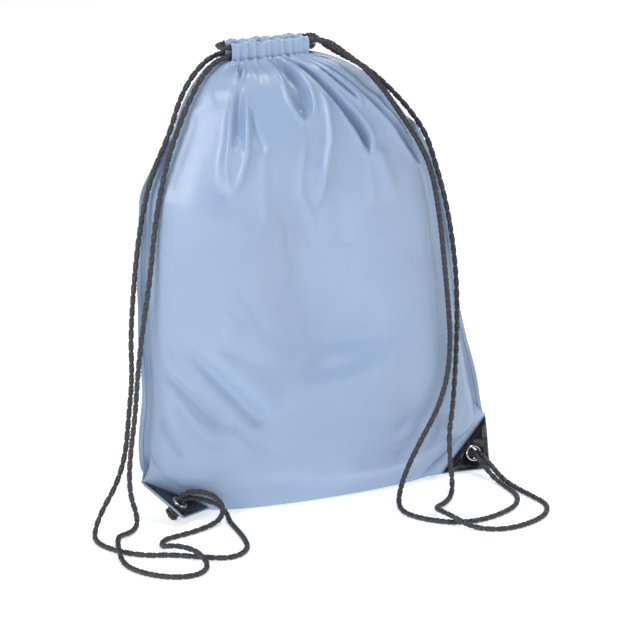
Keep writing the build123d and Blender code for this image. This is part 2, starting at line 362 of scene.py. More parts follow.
strandRoutes = {
    "left_front_strand": [
        (-0.065, -0.007, 0.415), (-0.090, -0.007, 0.415), (-0.111, -0.011, 0.400),
        (-0.126, -0.015, 0.378), (-0.140, -0.018, 0.350), (-0.151, -0.019, 0.318),
        (-0.160, -0.019, 0.276), (-0.165, -0.019, 0.228), (-0.173, -0.019, 0.182),
        (-0.178, -0.019, 0.144), (-0.181, -0.019, 0.106), (-0.186, -0.019, 0.072),
        (-0.188, -0.019, 0.048), (-0.186, -0.018, 0.029), (-0.180, -0.015, 0.013),
        (-0.182, -0.022, 0.004), (-0.191, -0.031, 0.0025), (-0.204, -0.040, 0.0045),
        (-0.214, -0.056, 0.009), (-0.222, -0.077, 0.009), (-0.227, -0.100, 0.0025),
        (-0.221, -0.124, 0.0025), (-0.205, -0.144, 0.0025), (-0.184, -0.152, 0.0025),
        (-0.167, -0.143, 0.0025), (-0.161, -0.128, 0.0045), (-0.164, -0.111, 0.009),
        (-0.175, -0.093, 0.009), (-0.182, -0.076, 0.0025), (-0.173, -0.060, 0.0025),
        (-0.152, -0.056, 0.0025), (-0.131, -0.050, 0.0025), (-0.112, -0.043, 0.005),
        (-0.105, -0.036, 0.013), (-0.109, -0.029, 0.022), (-0.122, -0.024, 0.028),
    ],
    "left_back_strand": [
        (-0.065, 0.007, 0.415), (-0.090, 0.007, 0.415), (-0.112, 0.004, 0.400),
        (-0.128, 0, 0.378), (-0.140, -0.006, 0.350), (-0.159, -0.009, 0.316),
        (-0.170, -0.009, 0.272), (-0.176, -0.008, 0.222), (-0.180, -0.008, 0.172),
        (-0.179, -0.008, 0.136), (-0.183, -0.008, 0.100), (-0.187, -0.009, 0.066),
        (-0.197, -0.011, 0.040), (-0.212, -0.014, 0.020), (-0.223, -0.023, 0.005),
        (-0.229, -0.042, 0.0025), (-0.222, -0.066, 0.0025), (-0.203, -0.089, 0.0025),
        (-0.180, -0.097, 0.0025), (-0.158, -0.114, 0.0025), (-0.136, -0.127, 0.0025),
        (-0.115, -0.113, 0.0025), (-0.108, -0.088, 0.0025), (-0.105, -0.064, 0.0025),
        (-0.103, -0.043, 0.0025), (-0.099, -0.030, 0.004), (-0.102, -0.020, 0.010),
        (-0.112, -0.018, 0.015), (-0.123, -0.018, 0.019),
    ],
    "right_front_strand": [
        (-0.028, -0.007, 0.421), (-0.006, -0.007, 0.421), (0.007, -0.015, 0.420),
        (0.020, -0.021, 0.409), (0.036, -0.026, 0.396), (0.053, -0.030, 0.376), (0.069, -0.034, 0.351),
        (0.086, -0.034, 0.326), (0.099, -0.034, 0.298), (0.108, -0.032, 0.256),
        (0.114, -0.031, 0.210), (0.119, -0.031, 0.165), (0.121, -0.031, 0.130),
        (0.116, -0.034, 0.100), (0.104, -0.038, 0.074), (0.088, -0.041, 0.052),
        (0.072, -0.045, 0.029), (0.060, -0.053, 0.011), (0.050, -0.070, 0.0025),
        (0.047, -0.092, 0.0025), (0.058, -0.113, 0.0025), (0.075, -0.129, 0.0025),
        (0.098, -0.134, 0.0025), (0.124, -0.127, 0.0025), (0.147, -0.113, 0.0025),
        (0.160, -0.091, 0.0025), (0.161, -0.066, 0.0025), (0.160, -0.046, 0.004),
        (0.157, -0.031, 0.012),
    ],
    "right_back_strand": [
        (-0.028, 0.007, 0.421), (-0.006, 0.007, 0.421), (0.006, 0.015, 0.420),
        (0.017, 0.019, 0.410), (0.034, 0.017, 0.399), (0.056, 0.013, 0.387), (0.076, 0.008, 0.368),
        (0.093, 0.002, 0.348), (0.106, -0.007, 0.326), (0.115, -0.009, 0.298),
        (0.124, -0.012, 0.264), (0.131, -0.014, 0.224), (0.134, -0.017, 0.184),
        (0.132, -0.022, 0.142), (0.128, -0.027, 0.104), (0.124, -0.031, 0.074),
        (0.118, -0.036, 0.053), (0.115, -0.043, 0.033), (0.114, -0.050, 0.015),
        (0.108, -0.063, 0.003), (0.093, -0.080, 0.0025), (0.077, -0.092, 0.0045),
        (0.070, -0.109, 0.009), (0.074, -0.129, 0.009), (0.085, -0.148, 0.0025),
        (0.106, -0.163, 0.0025), (0.132, -0.160, 0.0025), (0.158, -0.147, 0.0025),
        (0.173, -0.124, 0.0025), (0.171, -0.098, 0.0025), (0.168, -0.073, 0.0025),
        (0.166, -0.051, 0.004), (0.163, -0.034, 0.012),
    ],
}

# corner ears: tip, and the directions along the bottom edge and up the side edge
ears = {
    "left": {"tip": (-0.144, -0.037, 0.010), "along": (0.752, 0.641, -0.155), "up": (-0.494, 0.703, 0.512),
             "turned": False},
    "right": {"tip": (0.172, -0.015, 0.002), "along": (-1, 0.06, 0.02), "up": (0.06, 0.31, 0.95),
              "turned": True},
}
earSizes = {
    "leg": 0.050,
    "inset": 0.016,
    "cloth": 0.0006,
    "aside": 0.0026,     # each strand beside the middle of the bore
}
for ear in ears.values():
    bottom = Vector(ear["along"]).normalized()
    rise = Vector(ear["up"])
    rise = (rise - bottom * rise.dot(bottom)).normalized()
    normal = rise.cross(bottom) if ear["turned"] else bottom.cross(rise)
    ear["tip"] = Vector(ear["tip"])
    ear["bottom"], ear["rise"], ear["normal"] = bottom, rise, normal


def onEar(side, along, up, out):
    ear = ears[side]
    return ear["tip"] + ear["bottom"] * along + ear["rise"] * up + ear["normal"] * out


def strandEnd(side, aside, approach):
    spot = earSizes["inset"]
    return [onEar(side, spot + aside[0], spot + aside[1], out) for out in (approach, 0.003)]


aside = earSizes["aside"]
half = aside / math.sqrt(2)
# how each strand comes to its eyelet: ear, place in the bore, height from which it turns in
strandEnds = {
    "left_front_strand": ("left", (-half, half), 0.012),
    "left_back_strand": ("left", (half, -half), 0.009),
    "right_front_strand": ("right", (aside, 0), 0.0105),
    "right_back_strand": ("right", (-aside, 0), 0.0105),
}
for strandName, ending in strandEnds.items():
    strandRoutes[strandName] += strandEnd(*ending)


def smoothLine(name, points, kind="NURBS"):
    curve = bpy.data.curves.new(name, "CURVE")
    curve.dimensions = "3D"
    spline = curve.splines.new(kind)
    spline.points.add(len(points) - 1)
    for point, place in zip(spline.points, points):
        point.co = (*place, 1)
    if kind == "NURBS":
        spline.order_u = 3
        spline.use_endpoint_u = True
    curve.resolution_u = 24
    holder = bpy.data.objects.new(name, curve)
    scene.collection.objects.link(holder)
    bpy.context.view_layer.update()
    mesh = bpy.data.meshes.new_from_object(holder)
    line = np.array([v.co for v in mesh.vertices])
    bpy.data.objects.remove(holder)
    bpy.data.meshes.remove(mesh)
    return line


def evenly(line, step):
    lengths = np.linalg.norm(np.diff(line, axis=0), axis=1)
    keep = np.concatenate([[True], lengths > 1e-9])
    line = line[keep]
    run = np.concatenate([[0], np.cumsum(np.linalg.norm(np.diff(line, axis=0), axis=1))])
    count = max(8, int(round(run[-1] / step)))
    at = np.linspace(0, run[-1], count + 1)
    return np.column_stack([np.interp(at, run, line[:, k]) for k in range(3)]), at


def lineFrames(line):
    along = np.gradient(line, axis=0)
    along /= np.linalg.norm(along, axis=1)[:, None]
    first = np.cross(along[0], (0, 0, 1))
    if np.linalg.norm(first) < 0.1:
        first = np.cross(along[0], (0, 1, 0))
    sideways = [first / np.linalg.norm(first)]
    for k in range(1, len(line)):
        carried = sideways[-1] - along[k] * sideways[-1].dot(along[k])
        sideways.append(carried / np.linalg.norm(carried))
    sideways = np.array(sideways)
    return along, sideways, np.cross(along, sideways)


def tubeFaces(rings, around, offset, closedEnds=True):
    faces = []
    for r in range(rings - 1):
        for a in range(around):
            b = (a + 1) % around
            faces.append((offset + r * around + a, offset + r * around + b,
                          offset + (r + 1) * around + b, offset + (r + 1) * around + a))
    if closedEnds:
        faces.append(tuple(offset + a for a in reversed(range(around))))
        faces.append(tuple(offset + (rings - 1) * around + a for a in range(around)))
    return faces


def braidAlong(name, line):
    line, at = evenly(line, cord["step"])
    along, sideways, upward = lineFrames(line)
    radius = cord["diameter"] / 2
    points, faces = [], []
    core, ring = 8, 6      # sides of the core and of each carrier
    for k in range(len(line)):
        for a in range(core):
            angle = 2 * math.pi * a / core
            outward = math.cos(angle) * sideways[k] + math.sin(angle) * upward[k]
            points.append(line[k] + (radius - cord["coreInset"]) * outward)
    faces += tubeFaces(len(line), core, 0)
    lay = radius - cord["carrierThick"] - cord["weave"] * 0.6
    for carrier in range(cord["carriers"]):
        hand = 1 if carrier % 2 else -1
        start = 2 * math.pi * (carrier // 2) / (cord["carriers"] / 2)
        offset = len(points)
        turn = start + hand * 2 * math.pi * at / cord["pitch"]
        crossings = cord["carriers"] / 2
        over = hand * np.cos(crossings * (2 * math.pi * at / cord["pitch"]) + (carrier // 2) * math.pi)
        reach = lay + cord["weave"] * over
        outward = np.cos(turn)[:, None] * sideways + np.sin(turn)[:, None] * upward
        centre = line + outward * reach[:, None]
        travel = np.gradient(centre, axis=0)
        travel /= np.linalg.norm(travel, axis=1)[:, None]
        across = np.cross(travel, outward)
        across /= np.linalg.norm(across, axis=1)[:, None]
        for k in range(len(line)):
            for a in range(ring):
                angle = 2 * math.pi * a / ring
                points.append(centre[k] + across[k] * math.cos(angle) * cord["carrierWidth"] / 2 * 1.25
                              + outward[k] * math.sin(angle) * cord["carrierThick"])
        faces += tubeFaces(len(line), ring, offset)
    piece = newPiece(name, points, faces)
    mesh = piece.data
    mesh.shade_smooth()
    # place round each carrier and along it, for the fibres
    lay = mesh.uv_layers.new(name="lay")
    counts = np.array([core] + [ring] * cord["carriers"])
    starts = np.concatenate([[0], np.cumsum(counts * len(line))])
    index = np.array([loop.vertex_index for loop in mesh.loops])
    which = np.searchsorted(starts, index, side="right") - 1
    inside = index - starts[which]
    around = inside % counts[which] / counts[which]
    along = at[inside // counts[which]]
    lay.data.foreach_set("uv", np.column_stack([around, along * 100]).ravel().astype(np.float32))
    paint(piece, cordMaterial)
    return piece, line


# the standing bag: height, middle, half width, half depth of each level, as in the design
bag = {
    "levels": [
        (0, 0.005, 0.112, 0.022), (0.015, 0.002, 0.127, 0.026), (0.030, -0.001, 0.147, 0.031),
        (0.045, 0.002, 0.162, 0.036), (0.070, -0.002, 0.160, 0.039), (0.110, -0.004, 0.153, 0.043),
        (0.157, -0.012, 0.149, 0.045), (0.200, -0.015, 0.146, 0.047), (0.250, -0.019, 0.141, 0.054),
        (0.300, -0.024, 0.133, 0.060), (0.346, -0.024, 0.110, 0.058), (0.372, -0.030, 0.094, 0.050),
        (0.392, -0.036, 0.076, 0.038), (0.405, -0.041, 0.054, 0.022), (0.410, -0.046, 0.038, 0.012),
    ],
    "hemFoot": 0.410,
    "hemTop": 0.426,
    "hemLeft": -0.083,
    "hemRight": -0.010,
    "hemDepth": 0.0076,
    "hemMiddle": 0.007,
    "columns": 110,
    "rows": 101,
    "seat": 0.0007,
    "flange": 0.009,
    "cloth": 0.00045,
    "flat": (0.350, 0.450),
    "mostOut": 0.0055,       # folds stand no further out than this, to stay clear of the cords
}
# the folded hem that the cords run through, drawn up into small pleats
hem = {
    "across": 150,
    "round": 30,
    "pleat": 0.0024,
    "topWave": 0.0016,
    "wall": 0.0005,
    "foot": 0.0030,          # how far the hem hangs over the panel's top edge
    "seeds": {-1: 5, 1: 8},  # of the pleats, front and back
    "riseEnd": 0.40,         # share of the way round at which the outer wall ends
    "threadAt": 0.22,        # share of the outer wall at which it is sewn
}

# open gathers: the rim of each, from its top left round its foot to its top right, as share across
# the panel and height, with how deep the cloth goes in behind the rim
frontGathers = [
    ([(-0.66, 0.424), (-0.61, 0.403), (-0.55, 0.393), (-0.50, 0.404), (-0.46, 0.424)], 0.0045),
    ([(-0.17, 0.430), (-0.12, 0.402), (-0.13, 0.388), (-0.11, 0.373), (-0.05, 0.360), (0.04, 0.366),
      (0.10, 0.378), (0.13, 0.394), (0.11, 0.430)], 0.0085),
    ([(0.17, 0.418), (0.20, 0.389), (0.26, 0.374), (0.30, 0.345), (0.36, 0.322), (0.42, 0.334),
      (0.42, 0.356), (0.36, 0.378), (0.32, 0.405)], 0.0080),
    ([(0.36, 0.425), (0.38, 0.398), (0.42, 0.382), (0.50, 0.370), (0.53, 0.380), (0.46, 0.395),
      (0.43, 0.425)], 0.0050),
    ([(0.52, 0.410), (0.56, 0.380), (0.62, 0.345), (0.70, 0.320), (0.80, 0.301), (0.80, 0.320),
      (0.72, 0.345), (0.66, 0.370), (0.60, 0.405)], 0.0075),
]
# ridges and hollows that run down the cloth: line, half width, height (below zero is a hollow)
frontFolds = [
    ([(-0.58, 0.392), (-0.585, 0.350), (-0.56, 0.320), (-0.50, 0.303)], 0.0036, 0.0036),
    ([(-0.46, 0.394), (-0.47, 0.355), (-0.45, 0.325), (-0.50, 0.303)], 0.0034, 0.0040),
    ([(-0.53, 0.345), (-0.52, 0.325), (-0.50, 0.309)], 0.0080, 0.0036),
    ([(-0.525, 0.392), (-0.53, 0.370), (-0.525, 0.348)], 0.0040, -0.0022),
    ([(-0.48, 0.385), (-0.43, 0.365), (-0.40, 0.350), (-0.32, 0.333)], 0.0022, -0.0018),
    ([(0.20, 0.384), (0.17, 0.374), (0.10, 0.345), (0.05, 0.312), (0.03, 0.276)], 0.0030, 0.0030),
    ([(-0.05, 0.360), (-0.09, 0.335), (-0.10, 0.305), (-0.04, 0.282), (0.02, 0.272)], 0.0034, 0.0016),
    ([(0.00, 0.330), (-0.02, 0.300), (0.00, 0.282)], 0.0120, 0.0022),
    ([(0.43, 0.335), (0.45, 0.310), (0.51, 0.278)], 0.0085, 0.0030),
    ([(0.36, 0.322), (0.35, 0.300), (0.37, 0.280)], 0.0040, 0.0012),
    ([(-0.33, 0.345), (-0.33, 0.310), (-0.30, 0.275)], 0.0050, 0.0013),
    ([(0.14, 0.300), (0.20, 0.270), (0.17, 0.240)], 0.0110, -0.0016),
    ([(-0.04, 0.330), (-0.06, 0.270), (-0.04, 0.210), (0.04, 0.160), (0.10, 0.120)], 0.0440, -0.0115),
    ([(-0.62, 0.310), (-0.64, 0.230), (-0.60, 0.160)], 0.0420, 0.0040),
    ([(0.52, 0.240), (0.40, 0.150), (0.20, 0.080)], 0.0450, 0.0040),
    ([(-0.93, 0.146), (-0.82, 0.124), (-0.68, 0.098), (-0.56, 0.088)], 0.0062, -0.0034),
    ([(-0.86, 0.118), (-0.76, 0.098), (-0.66, 0.083), (-0.56, 0.077), (-0.49, 0.083)], 0.0034, 0.0032),
    ([(-0.78, 0.168), (-0.60, 0.132), (-0.44, 0.098), (-0.38, 0.086)], 0.0075, -0.0034),
    ([(-0.66, 0.170), (-0.46, 0.130), (-0.30, 0.100)], 0.0100, 0.0030),
    ([(-0.95, 0.100), (-0.86, 0.080), (-0.80, 0.060)], 0.0050, -0.0020),
    ([(-0.70, 0.030), (-0.40, 0.020), (-0.10, 0.024)], 0.0100, -0.0024),
    ([(0.05, 0.030), (0.30, 0.022), (0.60, 0.034)], 0.0100, 0.0022),
    ([(0.62, 0.090), (0.74, 0.060), (0.86, 0.036)], 0.0080, -0.0020),
]
backGathers = [
    ([(-0.60, 0.420), (-0.58, 0.395), (-0.64, 0.360), (-0.70, 0.330), (-0.62, 0.326), (-0.54, 0.350),
      (-0.50, 0.380), (-0.50, 0.420)], 0.0046),
    ([(-0.20, 0.425), (-0.24, 0.395), (-0.26, 0.372), (-0.20, 0.352), (-0.12, 0.364), (-0.10, 0.390),
      (-0.12, 0.425)], 0.0050),
    ([(0.10, 0.425), (0.12, 0.398), (0.14, 0.376), (0.22, 0.362), (0.27, 0.378), (0.22, 0.402),
      (0.20, 0.425)], 0.0040),
    ([(0.44, 0.420), (0.50, 0.390), (0.56, 0.352), (0.64, 0.326), (0.68, 0.342), (0.60, 0.374),
      (0.54, 0.420)], 0.0046),
]
backFolds = [
    ([(-0.36, 0.395), (-0.40, 0.345), (-0.42, 0.300)], 0.0045, 0.0030),
    ([(0.00, 0.395), (-0.02, 0.345), (0.03, 0.285)], 0.0050, 0.0032),
    ([(0.36, 0.390), (0.38, 0.340), (0.36, 0.292)], 0.0042, 0.0028),
    ([(0.72, 0.365), (0.76, 0.330), (0.80, 0.300)], 0.0050, 0.0026),
    ([(0.10, 0.250), (0.04, 0.190), (0.14, 0.130)], 0.0420, -0.0045),
    ([(-0.50, 0.230), (-0.44, 0.150), (-0.50, 0.080)], 0.0450, 0.0034),
    ([(0.90, 0.150), (0.74, 0.116), (0.56, 0.090)], 0.0065, -0.0024),
    ([(0.86, 0.120), (0.70, 0.090), (0.54, 0.080)], 0.0055, 0.0026),
    ([(-0.92, 0.130), (-0.76, 0.104), (-0.60, 0.094)], 0.0060, -0.0028),
]


def smoothStep(value, low, high):
    share = np.clip((value - low) / (high - low), 0, 1)
    return share * share * (3 - 2 * share)


def levelAt(z):
    levels = np.array(bag["levels"])
    reach = np.minimum(0.007, np.minimum(z, bag["hemFoot"] - z) * 0.6)
    found = np.zeros((len(z), 3))
    for shift in (-1, -0.5, 0, 0.5, 1):      # a short running mean takes the corners off the levels
        for k in range(3):
            found[:, k] += np.interp(z + shift * reach, levels[:, 0], levels[:, k + 1]) / 5
    return found


def bagOutline(z, side):
    # one row of the panel: points at equal distances round half of a rounded oblong
    middle, halfWidth, halfDepth = levelAt(np.array([z]))[0]
    power = 2 + 1.6 * smoothStep(z, 0.392, 0.410)
    turn = np.linspace(math.pi, 0, 361)
    x = middle + halfWidth * np.sign(np.cos(turn)) * np.abs(np.cos(turn)) ** (2 / power)
    y = side * halfDepth * np.abs(np.sin(turn)) ** (2 / power)
    run = np.concatenate([[0], np.cumsum(np.hypot(np.diff(x), np.diff(y)))])
    at = np.linspace(0, run[-1], bag["columns"] + 1)
    return np.interp(at, run, x), np.interp(at, run, y)


def nearest(across, height, line, halfArc):
    # distance of every point to a line drawn on the cloth, and how far along the line that is
    points = np.array(line)
    px, pz = points[:, 0] * halfArc, points[:, 1]
    best = np.full(across.shape, 9.0)
    where = np.zeros(across.shape)
    reach = 0.12
    close = (across > px.min() - reach) & (across < px.max() + reach) & (height > pz.min() - reach)
    flatAcross, flatHeight = across[close], height[close]
    near, spot = best[close], where[close]
    for k in range(len(points) - 1):
        dx, dz = px[k + 1] - px[k], pz[k + 1] - pz[k]
        share = ((flatAcross - px[k]) * dx + (flatHeight - pz[k]) * dz) / (dx * dx + dz * dz)
        share = np.clip(share, 0, 1)
        away = np.hypot(flatAcross - px[k] - share * dx, flatHeight - pz[k] - share * dz)
        spot = np.where(away < near, (k + share) / (len(points) - 1), spot)
        near = np.minimum(near, away)
    best[close], where[close] = near, spot
    return best, where


def within(across, height, line, halfArc):
    points = np.array(line)
    px, pz = points[:, 0] * halfArc, points[:, 1]
    inside = np.zeros(across.shape, bool)
    for k in range(len(points)):
        j = k - 1
        crosses = (pz[k] > height) != (pz[j] > height)
        slope = (px[j] - px[k]) / (pz[j] - pz[k] + 1e-12)
        inside ^= crosses & (across < slope * (height - pz[k]) + px[k])
    return inside


def rounded(line):
    drawn = smoothLine("foldLine", [(a, b, 0) for a, b in line])
    return drawn[:: max(1, len(drawn) // 40), :2]


def lineArc(line):
    top = sum(z for t, z in line) / len(line)
    return 0.150 - 0.040 * float(smoothStep(np.array([top]), 0.25, 0.40)[0])


# how the lines above become relief: the sink behind a gather's rim, its shoulder, and the crisp edges
fold = {
    "sink": 1.35,            # share of the given depth
    "sinkReach": 0.0036,
    "shoulder": 0.0016,
    "shoulderReach": 0.007,
    "ridge": 1.5,            # share of the given height
    "crown": 0.45,
    "lip": 0.0021,
    "lipInside": 0.0010,
    "lipOutside": 0.0022,
    "near": 0.012,           # crisp edges are worked out this near to their line
}


def foldHeights(share, height, gathers, folds):
    # how far the cloth stands in or out of the smooth bag at each point
    out = np.zeros(share.shape)
    for line, depth in gathers:
        arc = lineArc(line)
        rim = rounded(line)
        away, along = nearest(share * arc, height, rim, arc)
        inside = within(share * arc, height, rim, arc)
        sunk = 1 - np.exp(-(away / fold["sinkReach"]) ** 1.5)
        out += np.where(inside, -depth * fold["sink"] * sunk, 0)
        ends = smoothStep(along, 0, 0.15) * smoothStep(1 - along, 0, 0.15)
        out += fold["shoulder"] * ends * np.exp(-(away / fold["shoulderReach"]) ** 1.2)
    for line, width, rise in folds:
        arc = lineArc(line)
        away, along = nearest(share * arc, height, rounded(line), arc)
        fade = smoothStep(along, -0.02, 0.22) * smoothStep(1 - along, -0.02, 0.14)
        out += rise * fold["ridge"] * fade * np.exp(-(away / width) ** 2)
    return out * smoothStep(bag["hemFoot"] - height, -0.001, 0.008)


def crispHeights(share, height, gathers, folds):
    # the sharp rim of each gather and the crown of each narrow fold
    out = np.zeros(share.shape)
    narrow = [drawnFold for drawnFold in folds if drawnFold[1] < 0.006]
    lines = [(line, 0, depth) for line, depth in gathers] + narrow
    for line, width, rise in lines:
        arc = lineArc(line)
        across = [t * arc for t, z in line]
        heights = [z for t, z in line]
        near = fold["near"]
        close = ((share * arc > min(across) - near) & (share * arc < max(across) + near)
                 & (height > min(heights) - near) & (height < max(heights) + near))
        drawn = rounded(line)
        s, h = share[close] * arc, height[close]
        away, along = nearest(s, h, drawn, arc)
        fade = smoothStep(along, 0, 0.15) * smoothStep(1 - along, 0, 0.2)
        if width:
            out[close] += rise * fold["crown"] * fade * np.exp(-(away / (width * 0.45)) ** 1.5)
        else:
            lip = np.where(within(s, h, drawn, arc), np.exp(-(away / fold["lipInside"]) ** 2),
                           np.exp(-(away / fold["lipOutside"]) ** 1.4))
            out[close] += fold["lip"] * fade * lip
    return out * smoothStep(bag["hemFoot"] - height, -0.001, 0.008)


def gatherWave(x, seed):
    # the small pleats that the drawn cords press into the hem
    draw = random.Random(seed)
    span = bag["hemRight"] - bag["hemLeft"]
    place = bag["hemLeft"] + 0.006
    wave = np.zeros(np.shape(x))
    while place < bag["hemRight"] - 0.004:
        width = draw.uniform(0.0016, 0.0028)
        rise = draw.uniform(0.6, 1.0)
        wave = wave + rise * np.exp(-((x - place) / width) ** 2)
        place += draw.uniform(0.0050, 0.0085)
    leftEnd = smoothStep((x - bag["hemLeft"]) / span, 0.0, 0.12)
    rightEnd = smoothStep((bag["hemRight"] - x) / span, 0, 0.06)
    return (wave - 0.45) * (leftEnd * rightEnd)


def gridFaces(rows, columns, turned):
    faces = []
    for r in range(rows - 1):
        for c in range(columns - 1):
            a = r * columns + c
            quad = (a, a + 1, a + columns + 1, a + columns)
            faces.append(quad[::-1] if turned else quad)
    return faces


def flangeReach(z):
    return bag["flange"] * smoothStep(z, 0.012, 0.032) * smoothStep(0.347 - z, 0, 0.017)


def flangeLean(z, side):
    # the seam's edge wanders a little to the front and to the back
    return 0.0022 * math.sin(z * 38 + side * 1.3) + 0.0012 * math.sin(z * 97 + 2.1 * side)


def flangePoint(z, side, out):
    middle, halfWidth = levelAt(np.array([z]))[0][:2]
    return np.array((middle + side * (halfWidth + out), flangeLean(z, side) * out / bag["flange"], z))


def panelGrid(side):
    gathers, folds = (frontGathers, frontFolds) if side < 0 else (backGathers, backFolds)
    seatRows = 5
    heights = np.concatenate([
        np.full(seatRows, bag["seat"]),
        bag["seat"] + (bag["hemFoot"] - bag["seat"]) * np.linspace(0, 1, bag["rows"]) ** 0.94])
    grid = np.zeros((len(heights), bag["columns"] + 1, 3))
    for r, z in enumerate(heights):
        x, y = bagOutline(z if z > bag["seat"] else 0, side)
        depth = r / seatRows if r < seatRows else 1
        grid[r, :, 0], grid[r, :, 1], grid[r, :, 2] = x, y * depth, z
    alongRow = np.gradient(grid, axis=1)
    upColumn = np.gradient(grid, axis=0)
    normals = np.cross(alongRow, upColumn)
    normals /= np.linalg.norm(normals, axis=2)[:, :, None] + 1e-12
    outward = grid - np.array((-0.02, 0, 0))
    outward[:, :, 2] = 0
    flip = np.sign(np.sum(normals[seatRows:] * outward[seatRows:], axis=(1, 2)).mean())
    normals *= flip
    normals[:seatRows] = (0, 0, -1)
    share = np.repeat(np.linspace(-1, 1, bag["columns"] + 1)[None, :], len(heights), axis=0)
    height = grid[:, :, 2]
    move = foldHeights(share, height, gathers, folds)
    wave = gatherWave(grid[:, :, 0], hem["seeds"][side])
    spreadWave = gatherWave(bag["hemLeft"] + (share + 1) / 2 * (bag["hemRight"] - bag["hemLeft"]),
                            hem["seeds"][side])
    below = bag["hemFoot"] - height
    move += 0.0030 * (wave * np.exp(-below / 0.006) + 0.8 * spreadWave * (np.exp(-below / 0.026) -
                                                                        np.exp(-below / 0.006)))
    low = np.array([[noise.noise(Vector((p[0] * 17, p[1] * 17 + side * 3, p[2] * 13))) for p in row]
                    for row in grid])
    move += 0.0022 * low * smoothStep(height, 0.004, 0.04)
    edges = smoothStep(1 - np.abs(share), 0, 0.10)
    move *= edges * smoothStep(height, 0.002, 0.03)
    move = np.minimum(move, bag["mostOut"])
    grid = grid + normals * move[:, :, None]
    # the last rows meet the outer face of the hem
    tuck = smoothStep(height, 0.401, 0.4090)
    face = bag["hemMiddle"] + bag["hemDepth"] / 2
    face = face + hem["pleat"] * gatherWave(grid[:, :, 0], hem["seeds"][side])
    face = side * face * smoothStep(1 - np.abs(share), 0, 0.09)
    grid[:, :, 1] += (face - grid[:, :, 1]) * tuck
    return grid, heights, seatRows


def makePanel(side, name):
    grid, heights, seatRows = panelGrid(side)
    # the seam allowance beside each edge, flat in the plane of the seam
    strips = []
    for edge in (-1, 1):
        for out in (0.34, 0.67, 1.0):
            column = []
            for r, z in enumerate(heights):
                reach = float(flangeReach(np.array(z))) * out + 0.00002 * out
                base = grid[r, 0 if edge < 0 else -1]
                lean = flangeLean(z, edge) * reach / bag["flange"]
                column.append((base[0] + edge * reach, lean + side * 0.00025, z))
            strips.append(np.array(column))
    left = np.stack(strips[:3][::-1], axis=1)
    right = np.stack(strips[3:], axis=1)
    full = np.concatenate([left, grid, right], axis=1)
    rows, count = full.shape[:2]
    piece = newPiece(name, full.reshape(-1, 3), gridFaces(rows, count, side > 0))
    mesh = piece.data
    # flat place of every point on the cut cloth, for the weave
    flat = mesh.uv_layers.new(name="flat")
    drawn = mesh.uv_layers.new(name="drawn")      # share across and height, for the crisp folds
    climbed = np.concatenate([[0], np.cumsum(np.linalg.norm(
        np.diff(full[:, count // 2], axis=0), axis=1))])
    acrossAt = np.linspace(0, bag["flat"][0], count)
    for loop in mesh.loops:
        r, c = divmod(loop.vertex_index, count)
        flat.data[loop.index].uv = (acrossAt[c], climbed[r])
        inward = min(max(c - 3, 0), bag["columns"])
        drawn.data[loop.index].uv = (2 * inward / bag["columns"] - 1, heights[r])
    piece["hemRow"], piece["seatRows"] = count, seatRows
    return piece


cloth = {
    "frames": 10,
    "slack": 0.004,      # cloth cut this much larger than the shape it starts from
    "pressure": 0.15,
    "mostMove": 0.0022,
    "weight": 0.12,
    "stretch": 14,
    "shear": 6,
    "bend": 0.25,
    "damping": 2,
    "hold": 6,           # stiffness of the held edges
    "gravity": 0.1,
    "flange": 3,         # columns of seam allowance at each side, left as they are
}


def settleCloth(piece):
    # a short cloth simulation puts the small uneven buckles of real nylon over the placed folds. It runs
    # on the wall alone: the seat and the seam allowance have points that touch, which stop the solver
    columns = piece["hemRow"]
    rows = len(piece.data.vertices) // columns
    whole = np.array([v.co for v in piece.data.vertices]).reshape(rows, columns, 3)
    first, edge = piece["seatRows"], cloth["flange"]
    start = whole[first:, edge:columns - edge]
    tall, wide = start.shape[:2]
    wall = newPiece("clothWall", start.reshape(-1, 3), gridFaces(tall, wide, False))
    held = wall.vertex_groups.new(name="held")
    start = start.reshape(-1, 3)
    for index, spot in enumerate(start):
        inward = min(index % wide, wide - 1 - index % wide)
        grip = (max(0.0, 1 - inward / 7) + max(0.0, 1 - (0.404 - spot[2]) / 0.02)
                + max(0.0, 1 - (spot[2] - 0.002) / 0.02))
        held.add([index], min(1.0, 0.02 + grip), "REPLACE")
    makeActive(wall)
    sim = wall.modifiers.new("sim", "CLOTH")
    rules = sim.settings
    rules.quality = 6
    rules.mass = cloth["weight"]
    rules.tension_stiffness = rules.compression_stiffness = cloth["stretch"]
    rules.shear_stiffness = cloth["shear"]
    rules.bending_stiffness = cloth["bend"]
    rules.air_damping = cloth["damping"]
    rules.vertex_group_mass = "held"
    rules.pin_stiffness = cloth["hold"]
    rules.shrink_min = -cloth["slack"]
    rules.use_pressure = True
    rules.uniform_pressure_force = cloth["pressure"]
    rules.effector_weights.gravity = cloth["gravity"]
    sim.collision_settings.use_collision = False
    sim.point_cache.frame_start, sim.point_cache.frame_end = 1, cloth["frames"]
    for frameNumber in range(1, cloth["frames"] + 1):
        scene.frame_set(frameNumber)
    bpy.ops.object.modifier_apply(modifier="sim")
    moved = np.array([v.co for v in wall.data.vertices]) - start
    length = np.linalg.norm(moved, axis=1)
    print("cloth moved", round(float(length.mean()) * 1000, 2), "mm on average, most",
          round(float(length.max()) * 1000, 2))
    moved *= (np.minimum(length, cloth["mostMove"]) / np.maximum(length, 1e-9))[:, None]
    whole[first:, edge:columns - edge] += moved.reshape(tall, wide, 3)
    piece.data.vertices.foreach_set("co", whole.ravel().astype(np.float32))
    piece.data.update()
    bpy.data.objects.remove(wall)
    scene.frame_set(1)


